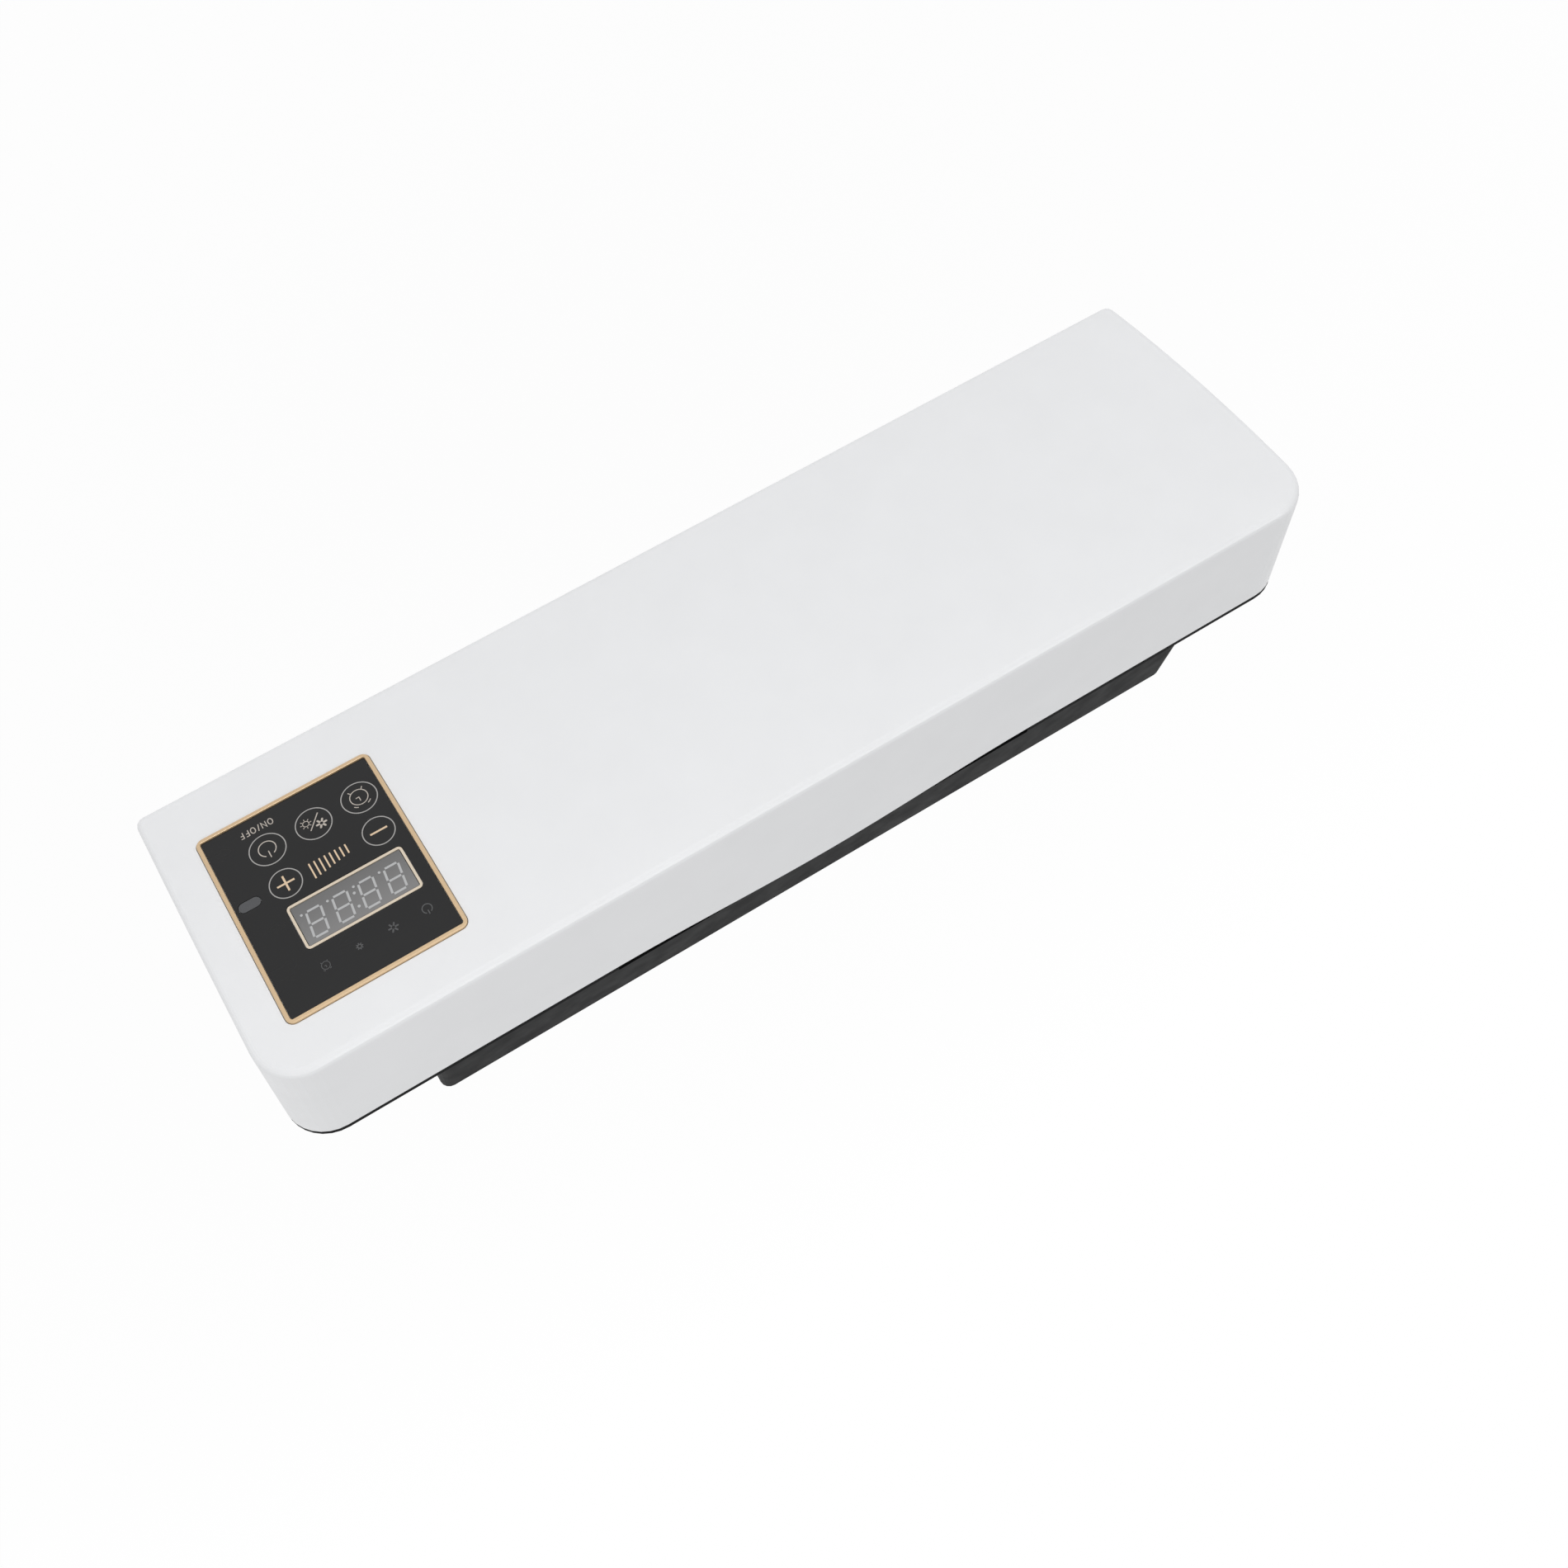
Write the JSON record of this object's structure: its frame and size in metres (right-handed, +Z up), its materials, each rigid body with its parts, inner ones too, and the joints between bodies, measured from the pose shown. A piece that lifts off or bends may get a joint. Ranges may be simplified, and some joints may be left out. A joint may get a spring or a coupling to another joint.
{
  "type": "wall-hung boot dryer",
  "caption": "Wall-hung boot dryer: crowned white cover with a black touch panel, black rear case and air manifold, and hollow boot arms that swing down from under it.",
  "frame": {"origin": "centre of the wall bracket's rear face, which lies on the wall", "axes": "+Z up, +X to the right seen from the front, +Y into the wall; the front of the dryer looks along -Y"},
  "size_m": [0.55, 0.1209, 0.24],
  "materials": {
    "white_plastic": "satin moulded white plastic",
    "black_plastic": "fine-textured black plastic",
    "panel_black": "smooth black touch sheet",
    "gold": "pale gold lacquer on plastic",
    "window_grey": "smoky grey display window",
    "ir_lens": "dark infra-red lens",
    "circuit_green": "circuit board lacquer",
    "component_dark": "dark moulded housing",
    "steel": "zinc-plated steel",
    "aluminium": "bare aluminium",
    "heat_white": "heat-resistant off-white moulding",
    "rubber": "soft black rubber",
    "filter_foam": "dark open foam",
    "grey_plastic": "grey heat-resistant plastic"
  },
  "bodies": {
    "dryer": {"blower_inlet_ring": "grey_plastic", "blower_scroll": "grey_plastic", "board_screw_1": "steel", "board_screw_2": "steel", "capacitor_1": "aluminium", "capacitor_2": "aluminium", "cord_gland": "rubber", "cover_screw_1": "steel", "cover_screw_2": "steel", "cover_screw_3": "steel", "cover_screw_4": "steel", "display_frame": "gold", "display_module": "component_dark", "display_window": "window_grey", "fan_motor": "steel", "friction_washer_1a": "rubber", "friction_washer_1b": "rubber", "friction_washer_2a": "rubber", "friction_washer_2b": "rubber", "friction_washer_3a": "rubber", "friction_washer_3b": "rubber", "friction_washer_4a": "rubber", "friction_washer_4b": "rubber", "front_cover": "white_plastic", "heater_fins": "aluminium", "heater_frame": "heat_white", "hinge_rod": "steel", "intake_filter_left": "filter_foam", "intake_filter_right": "filter_foam", "intake_grille_left": "black_plastic", "intake_grille_right": "black_plastic", "ir_receiver": "component_dark", "ir_window": "ir_lens", "manifold_gasket": "rubber", "outlet_manifold": "black_plastic", "panel_bezel": "gold", "power_board": "circuit_green", "rear_case": "black_plastic", "relay": "component_dark", "terminal_block": "grey_plastic", "thermal_cutout": "component_dark", "touch_board": "circuit_green", "touch_panel": "panel_black", "transformer": "component_dark", "wall_bracket": "steel", "wall_pad_left": "rubber", "wall_pad_right": "rubber"},
    "arm_1": {"boot_arm_1": "black_plastic", "outlet_grille_1": "grey_plastic"},
    "arm_2": {"boot_arm_2": "black_plastic", "outlet_grille_2": "grey_plastic"},
    "arm_3": {"boot_arm_3": "black_plastic", "outlet_grille_3": "grey_plastic"},
    "arm_4": {"boot_arm_4": "black_plastic", "outlet_grille_4": "grey_plastic"},
    "fan": {"impeller": "component_dark"}
  },
  "joints": [
    {"name": "arm_1_hinge", "type": "hinge", "parent": "dryer", "child": "arm_1", "pos_m": [-0.1575, -0.0155, -0.1303], "axis": [1, 0, 0], "range_deg": [0, 32]},
    {"name": "arm_2_hinge", "type": "hinge", "parent": "dryer", "child": "arm_2", "pos_m": [-0.0525, -0.0155, -0.1303], "axis": [1, 0, 0], "range_deg": [0, 32]},
    {"name": "arm_3_hinge", "type": "hinge", "parent": "dryer", "child": "arm_3", "pos_m": [0.0525, -0.0155, -0.1303], "axis": [1, 0, 0], "range_deg": [0, 32]},
    {"name": "arm_4_hinge", "type": "hinge", "parent": "dryer", "child": "arm_4", "pos_m": [0.1575, -0.0155, -0.1303], "axis": [1, 0, 0], "range_deg": [0, 32]},
    {"name": "impeller_spin", "type": "hinge", "parent": "dryer", "child": "fan", "pos_m": [0, -0.02, 0.006], "axis": [0, 1, 0], "continuous": true}
  ]
}
